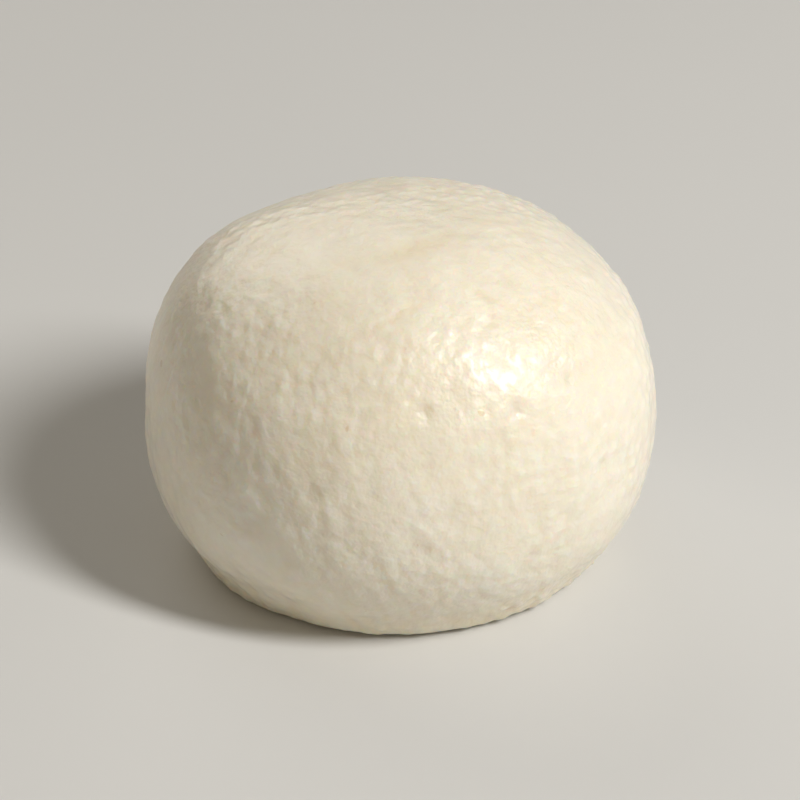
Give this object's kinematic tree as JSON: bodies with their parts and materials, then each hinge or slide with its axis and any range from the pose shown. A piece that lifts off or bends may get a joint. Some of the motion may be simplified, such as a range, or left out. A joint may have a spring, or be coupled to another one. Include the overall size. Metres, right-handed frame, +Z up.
{
  "type": "rice wine steamed bun",
  "caption": "Plain round steamed bun of white wheat dough: a full blunt dome that bulges over a flat round base.",
  "frame": {"origin": "middle of the flat base, on the surface that the bun rests on", "axes": "+Z up through the dome, +X along the longer of the two widths, +Y along the shorter"},
  "size_m": [0.1, 0.095, 0.07],
  "materials": {
    "steamed_skin": null
  },
  "bodies": {
    "root": {"bun": "steamed_skin"}
  },
  "joints": []
}
